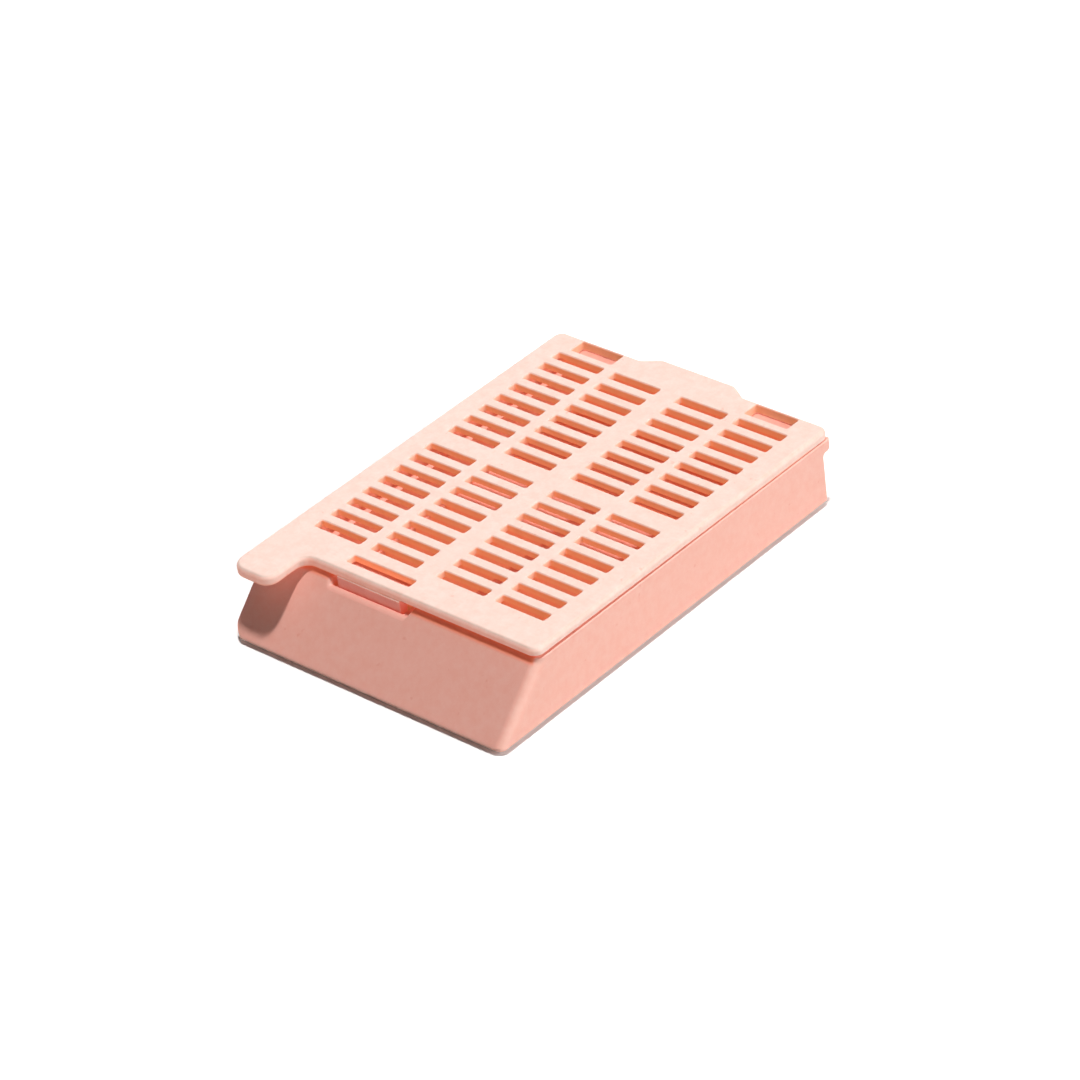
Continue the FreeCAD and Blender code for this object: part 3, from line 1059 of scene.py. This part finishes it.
@dataclass
class Base:
    """The slotted tray with its writing face, rear lip and hinge bar, as one moulding."""

    lattice: SlotLattice
    hinge: Vector
    half_width: float
    foot_y: float
    rim: float
    lid_front: float
    latch_x: tuple[float, float]
    foot_height: float = 0.35
    skirt: float = 1.0
    writing_angle: float = 45.0
    writing_thickness: float = 1.0
    foot_ease: float = 0.2
    slope_top_radius: float = 0.4
    right_ease: float = 0.85
    left_ease: float = 0.15
    left_foot_radius: float = 1.3
    right_foot_radius: float = 0.95
    rim_ease: float = 0.12
    rear_ease: float = 0.3
    lip_reach: float = 0.85
    lip_height: float = 1.2
    lip_radius: float = 0.45
    lip_root: float = 0.25
    deck: float = 1.0
    rib: float = 0.8
    rib_x: float = 8.8
    rib_lift: float = 0.35
    floor: float = 0.9
    well_half: float = 11.6
    upper_half: float = 12.6
    ledge: float = 4.9
    tray_wall: float = 0.9
    tray_corner: float = 1.0
    tray_margin: float = 0.4
    front_wall: float = 1.0
    rear_inset: float = 0.5
    mouth_ease: float = 0.1
    slot_ease: float = 0.07
    notch_gap: tuple[float, float] = (0.6, 0.9)
    notch_depth: float = 0.77
    notch_flare: float = 0.5
    notch_ease: tuple[float, ...] = (0.32, 0.1, 0.12, 0.26)
    pocket_front_gap: float = 0.2
    pocket_gap: float = 0.4
    pocket_length: float = 1.3
    bar_radius: float = 0.4
    bar_half: float = 4.45
    bar_root: float = 0.3
    swing_radius: float = 1.1

    def __post_init__(self) -> None:
        """Works out the places that follow from the sizes."""
        angle = math.radians(self.writing_angle)
        self.slope = math.tan(angle)
        self.slope_normal = Vector((0.0, -math.sin(angle), math.cos(angle)))
        self.slope_foot = self.foot_y - self.foot_ease * (1 / math.tan(angle / 2) - 1)
        self.slope_top = self.slope_foot + (self.rim - self.foot_height) / self.slope
        self.rear_wall = self.hinge.y - self.lip_reach
        self.tray_front = self.lattice.front() - self.tray_margin
        self.tray_rear = self.lattice.rear() + self.tray_margin
        self.skirt_inner = self.half_width - self.skirt
        self.tray_outer = self.well_half + self.tray_wall
        self.groove_top = self.ledge - self.tray_wall
        self.hollow_rear = self.tray_front - self.front_wall
        self.pocket_front = self.lid_front - self.pocket_front_gap
        self.pocket_rear = self.pocket_front + self.pocket_length

    def shell(self) -> Object:
        """Outer form above the skirt's lower edge, with every outside edge rounded.

        Returns:
            The solid.
        """
        lip_z = self.rim - self.lip_height
        profile = [Corner(self.slope_foot, self.foot_height, self.foot_ease),
                   Corner(self.rear_wall, self.foot_height, self.foot_ease),
                   Corner(self.rear_wall, lip_z, self.lip_root),
                   Corner(self.hinge.y, lip_z, self.lip_radius),
                   Corner(self.hinge.y, self.rim, self.rim_ease),
                   Corner(self.slope_top, self.rim, self.slope_top_radius)]
        shared = [self.foot_ease, self.rear_ease, self.rear_ease, self.rear_ease, self.rim_ease]
        shell = extrusion("shell", Facing.SIDE, profile,
                          End(-self.half_width, shared + [self.left_ease]),
                          End(self.half_width, shared + [self.right_ease]), 10, 9)
        work_on(shell, Join.CUT, self.foot_cutter(-1, self.left_foot_radius))
        work_on(shell, Join.CUT, self.foot_cutter(1, self.right_foot_radius))
        return shell

    def foot_cutter(self, side: int, radius: float) -> Object:
        """Cutter that rounds one front corner in plan.

        Args:
            side: -1 for the left corner, 1 for the right one.
            radius: The corner's radius.

        Returns:
            The cutter.
        """
        steps = 14
        cx, cy = side * (self.half_width - radius), self.foot_y + radius
        arc = []
        for k in range(steps + 1):
            turn = math.pi / 2 * k / steps
            arc.append(Vector((cx + side * radius * math.sin(turn),
                               cy - radius * math.cos(turn), 0.0)))
        far_x, far_y = side * (self.half_width + BEYOND), self.foot_y - BEYOND
        ring = arc + [Vector((far_x, cy, 0.0)), Vector((far_x, far_y, 0.0)), Vector((cx, far_y, 0.0))]
        if side > 0:
            ring.reverse()
        rings = [[p + Vector((0, 0, z)) for p in ring] for z in (-BEYOND, self.rim + BEYOND)]
        return solid_from_rings("foot_corner", rings)

    def hollow(self) -> Object:
        """Hollow behind the writing face, with its ribs left standing.

        Returns:
            The cutter.
        """
        run = self.writing_thickness / math.sin(math.radians(self.writing_angle))
        low, high = -2 * BEYOND, self.rim - self.deck

        def front(z: float) -> float:
            """Inner face of the writing wall at a height."""
            return self.slope_foot + run + (z - self.foot_height) / self.slope

        profile = [Corner(front(low), low), Corner(self.hollow_rear, low),
                   Corner(self.hollow_rear, high, 0.2), Corner(front(high), high, 0.2)]
        space = extrusion("hollow", Facing.SIDE, profile, End(-self.skirt_inner, 0.15),
                          End(self.skirt_inner, 0.15), 3, 2)
        ribs = []
        for x in (-self.rib_x, self.rib_x):
            outline = box_outline((self.slope_foot - BEYOND, self.foot_height + self.rib_lift),
                                  (self.hollow_rear + BEYOND, self.rim), 0.1)
            ribs.append(extrusion("rib", Facing.SIDE, outline, End(x - self.rib / 2),
                                  End(x + self.rib / 2), 3))
        work_on(space, Join.CUT, joined("ribs", ribs))
        return space

    def grooves(self) -> Object:
        """Grooves between the skirt and the tray, under the ledges.

        Returns:
            The cutters as one object.
        """
        made = []
        for a, b in ((self.tray_outer, self.skirt_inner), (-self.skirt_inner, -self.tray_outer)):
            outline = box_outline((a + CLEAR, self.hollow_rear - self.front_wall),
                                  (b - CLEAR, self.tray_rear), 0.05)
            made.append(extrusion("groove", Facing.PLAN, outline, End(-2 * BEYOND),
                                  End(self.groove_top), 2))
        return joined("grooves", made)

    def tray_foot(self) -> Object:
        """Outside of the tray where it stands below the skirt.

        Returns:
            The solid.
        """
        half = self.tray_outer + 2 * CLEAR
        outline = box_outline((-half, self.hollow_rear - CLEAR),
                              (half, self.rear_wall - self.rear_inset), self.tray_corner)
        return extrusion("tray_foot", Facing.PLAN, outline, End(0.0, 0.15),
                         End(self.groove_top + 0.2), 8, 3)

    def tray_space(self) -> Object:
        """Inside of the tray: a well, then a wider top above the ledges.

        Returns:
            The cutter.
        """
        ease = self.mouth_ease
        rings = []
        for half, z, extra, longer in (
                (self.well_half, self.floor, -0.1, 0.0),
                (self.well_half, self.floor + 0.03, -0.03, 0.0),
                (self.well_half, self.floor + 0.1, 0.0, 0.0),
                (self.well_half, self.ledge, 0.0, 0.0),
                (self.upper_half, self.ledge + CLEAR, 0.0, CLEAR),
                (self.upper_half, self.rim - ease, 0.0, CLEAR),
                (self.upper_half, self.rim - 0.3 * ease, 0.3 * ease, CLEAR),
                (self.upper_half, self.rim, ease, CLEAR),
                (self.upper_half, self.rim + OVERRUN, ease, CLEAR)):
            low = (-half - extra, self.tray_front - extra - longer)
            high = (half + extra, self.tray_rear + extra + longer)
            outline = box_outline(low, high, self.tray_corner + extra)
            rings.append([Vector((p.x, p.y, z)) for p, _, _ in rounded(outline, 8)])
        return solid_from_rings("tray_space", rings)

    def notch(self) -> Object:
        """Notch in the writing face's top edge, eased into the face all round.

        Returns:
            The cutter.
        """
        floor_z, top_z = self.rim - self.notch_depth, self.rim + 0.35
        flare = self.notch_flare * (top_z - floor_z) / self.notch_depth
        left, right = self.latch_x[0] - self.notch_gap[0], self.latch_x[1] + self.notch_gap[1]
        outline = [Corner(floor_z, left, 0.25), Corner(top_z, left - flare),
                   Corner(top_z, right + flare), Corner(floor_z, right, 0.2)]
        eases = [-e for e in self.notch_ease]
        notch = extrusion("notch", Facing.FRONT, outline, End(0.0, eases, OVERRUN), End(1.0))
        for vertex in notch.data.vertices:
            place = vertex.co
            if place.y > 0.9:
                place.y = self.pocket_rear - 5 * CLEAR
            else:
                place.y += self.slope_foot + (place.z - self.foot_height) / self.slope - 2 * CLEAR
        return notch

    def pocket(self) -> Object:
        """Opening in the deck that the latch tongue drops through.

        Returns:
            The cutter.
        """
        left = self.latch_x[0] - self.notch_gap[0] + 0.05
        outline = box_outline((left, self.pocket_front),
                              (self.latch_x[1] + self.pocket_gap, self.pocket_rear), 0.1)
        return extrusion("pocket", Facing.PLAN, outline,
                         End(self.rim - self.deck - self.writing_thickness),
                         End(self.rim + 0.5 * BEYOND), 3)

    def hinge_pocket(self) -> Object:
        """Space round the hinge bar that the lid's hook swings in.

        Returns:
            The cutter.
        """
        outline = box_outline((-self.bar_half, self.hinge.y - self.swing_radius),
                              (self.bar_half, self.hinge.y + 3 * BEYOND), 0.15)
        return extrusion("hinge_pocket", Facing.PLAN, outline,
                         End(self.hinge.z - self.swing_radius), End(self.rim + 0.5 * BEYOND), 3)

    def bar(self) -> Object:
        """The bar that the lid's hook turns on.

        Returns:
            The bar.
        """
        ring = circle(self.hinge.y, self.hinge.z, self.bar_radius, 32)
        end = self.bar_half + self.bar_root
        return extrusion("bar", Facing.SIDE, ring, End(-end), End(end), 1)

    def build(self) -> Object:
        """The finished base mesh.

        Returns:
            The piece, in metres.
        """
        base = self.shell()
        work_on(base, Join.CUT, self.hollow())
        work_on(base, Join.CUT, self.grooves())
        work_on(base, Join.ADD, self.tray_foot())
        work_on(base, Join.CUT, self.tray_space())
        work_on(base, Join.CUT, self.pocket())
        work_on(base, Join.CUT, self.notch())
        work_on(base, Join.CUT, self.hinge_pocket())
        slots = self.lattice.cutters(End(-OVERRUN), End(self.floor, -self.slot_ease, OVERRUN),
                                     self.well_half - self.lattice.corner)
        work_on(base, Join.CUT, slots)
        work_on(base, Join.ADD, self.bar())
        return finish_mesh(base, "base_moulding")

    def finish(self) -> Acetal:
        """The base's plastic.

        Returns:
            The finish, whose zones paint shade and a glow in the tray's inside and on the shaded band under
            the lid's front.
        """
        inside, band = 13.0, 13.9
        above = self.rim + 0.3
        # painted shade and painted glow on the tray's walls and in the band that the lid's edge shades
        tray = PaintedLightZone((-inside, self.pocket_front - 0.05, -0.3), (inside, self.rear_wall, above),
                    (1.0, 0.42, 0.27), (0.14, 0.06, 0.025), right_faces=0.3)
        shade = PaintedLightZone((-band, self.slope_top - 0.6, self.rim - 0.55),
                     (band, self.lid_front + 0.6, above),
                     (0.95, 0.29, 0.17), (0.10, 0.015, 0.006), softness=0.3, flat_faces=1.0)
        # painted top light darkens the writing face; painted edge light lightens the rounded edges
        return Acetal("base acetal", colour=(1.0, 0.56, 0.46), painted_top_light=(1.0, 0.52, 0.432),
                      painted_light_zones=(tray, shade), slanted_face=tuple(self.slope_normal),
                      painted_edge_light=(1.0, 0.62, 0.52))

    def dress(self, effects: Effects) -> None:
        """Builds and dresses the base."""
        dress_piece(self.build(), self.finish().material(effects), "base")


# ---- studio -------------------------------------------------------------------------------

@dataclass
class Studio:
    """Pale floor, soft lamps and the camera."""

    azimuth: float = 45.47
    elevation: float = 34.01
    roll: float = -7.78
    distance: float = 351.18
    aim: tuple[float, float] = (-0.910, -4.731)
    target: Vector = field(default_factory=lambda: Vector((0.0, 2.4, 6.8)))
    lens: float = 148.34
    key: float = 0.71
    side: float = 0.53
    front: float = 0.08
    back: float = 0.22
    ambient: float = 0.07
    floor_tone: float = 0.5
    floor_lift: float = 0.25
    fade: tuple[float, float] = (0.13, 0.28)

    def camera(self) -> None:
        """Sets the camera."""
        az, el, roll = (math.radians(v) for v in (self.azimuth, self.elevation, self.roll))
        back = Vector((math.sin(az) * math.cos(el), -math.cos(az) * math.cos(el), math.sin(el)))
        level = Vector((math.cos(az), math.sin(az), 0.0))
        upright = back.cross(level)
        right = level * math.cos(roll) + upright * math.sin(roll)
        up = upright * math.cos(roll) - level * math.sin(roll)
        place = self.target + right * self.aim[0] + up * self.aim[1] + back * self.distance
        lens = bpy.data.cameras.new("camera")
        lens.lens = self.lens
        lens.sensor_width = 36.0
        camera = placed("camera", lens)
        turn = Matrix((right, up, back)).transposed().to_4x4()
        camera.matrix_world = Matrix.Translation(place * MM) @ turn
        bpy.context.scene.camera = camera

    def lamp(self, name: str, way: Vector, reach: float, size: float, level: float) -> None:
        """Adds a round lamp that faces the object.

        Args:
            name: The lamp's name.
            way: Direction from the object to the lamp.
            reach: Distance in metres.
            size: Diameter in metres.
            level: How brightly it lights a white card that faces it, 1 being white.
        """
        light = bpy.data.lights.new(name, "AREA")
        light.shape = "DISK"
        light.size = size
        light.energy = level * math.pi ** 2 * (reach ** 2 + size ** 2 / 4)
        lamp = placed(name, light)
        way = way.normalized()
        lamp.location = way * reach
        lamp.rotation_euler = way.to_track_quat("Z", "Y").to_euler()

    def lights(self) -> None:
        """Sets the lamps and the surrounding light."""
        self.lamp("key", Vector((0.07, 0.05, 1.0)), 0.6, 0.06, self.key)
        self.lamp("side", Vector((1.0, 0.35, 0.4)), 0.5, 0.30, self.side)
        self.lamp("front", Vector((0.843, -0.279, 0.301)), 0.6, 0.08, self.front)
        self.lamp("back", Vector((-1.0, 0.6, 0.35)), 0.5, 0.30, self.back)
        world = bpy.data.worlds.new("studio")
        bpy.context.scene.world = world
        sheet = cleared(world)
        out = sheet.add("OutputWorld")
        seen = sheet.add("Background", {"Strength": 1.0, "Color": (1.0, 1.0, 1.0)})
        fill = sheet.add("Background", {"Strength": self.ambient, "Color": (1.0, 0.72, 0.62)})
        way = sheet.split(sheet.add("TexCoord").outputs["Generated"])
        wall = sheet.ramp(way["Z"], 0.38, 0.15)
        camera_ray = sheet.add("LightPath").outputs["Is Camera Ray"]
        low = sheet.sum("MULTIPLY", sheet.seen_directly(), wall)
        pick = sheet.add("MixShader", {1: fill.outputs[0], 2: seen.outputs[0]})
        sheet.feed(pick, {"Fac": sheet.sum("MAXIMUM", low, camera_ray)})
        sheet.feed(out, {"Surface": pick.outputs[0]})

    def floor(self) -> None:
        """Lays the pale floor."""
        work = bmesh.new()
        bmesh.ops.create_grid(work, x_segments=1, y_segments=1, size=3.0)
        floor = poured("floor", work)
        floor.location.z = -0.00001
        paint = bpy.data.materials.new("floor")
        sheet = cleared(paint)
        out = sheet.add("OutputMaterial")
        lit, white, lift = (sheet.add("BsdfDiffuse", {"Color": (tone, tone, tone)}).outputs[0]
                            for tone in (self.floor_tone, 1.0, self.floor_lift))
        bright = sheet.add("AddShader", {0: white, 1: lift}).outputs[0]
        away = sheet.vector("LENGTH", sheet.add("TexCoord").outputs["Object"])
        far = sheet.ramp(away.outputs["Value"], *self.fade)
        backdrop = sheet.add("Emission", {"Color": (1.0, 1.0, 1.0)}).outputs[0]
        plain = sheet.add("MixShader", {"Fac": far, 1: bright, 2: backdrop}).outputs[0]
        pick = sheet.add("MixShader", {1: lit, 2: plain})
        sheet.feed(pick, {"Fac": sheet.seen_directly()})
        sheet.feed(out, {"Surface": pick.outputs[0]})
        floor.data.materials.append(paint)

    def build(self) -> None:
        """Sets up the whole studio."""
        self.camera()
        self.lights()
        self.floor()
        bpy.context.scene.view_settings.view_transform = "Standard"


# ---- assembly -----------------------------------------------------------------------------

def millimetres(corner: Vector) -> Vector:
    """A point of the frame, in millimetres."""
    return Vector(corner) / MM


def main() -> None:
    """Builds the cassette and its studio."""
    logging.basicConfig(level=logging.INFO, format="%(name)s %(message)s")
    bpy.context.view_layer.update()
    lid_low, lid_high = (millimetres(c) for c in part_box("lid"))
    base_low, base_high = (millimetres(c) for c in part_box("base"))
    hinge = millimetres(frame["joints"][0]["pos_m"])
    lattice = SlotLattice()
    lid = Lid(lattice=lattice, hinge=hinge, half_width=lid_high.x, tab_front=lid_low.y,
              lug_rear=lid_high.y, top=lid_high.z, tongue_foot=lid_low.z)
    base = Base(lattice=lattice, hinge=hinge, half_width=base_high.x, foot_y=base_low.y,
                rim=base_high.z, lid_front=lid.front, latch_x=lid.latch_x)
    effects = Effects(mould_grain_group(), faced_up_group(), painted_light_zone_group(), rounded_edges_group())
    for moulding in (lid, base):
        moulding.dress(effects)
    Studio().build()


if __name__ == "__main__":
    main()
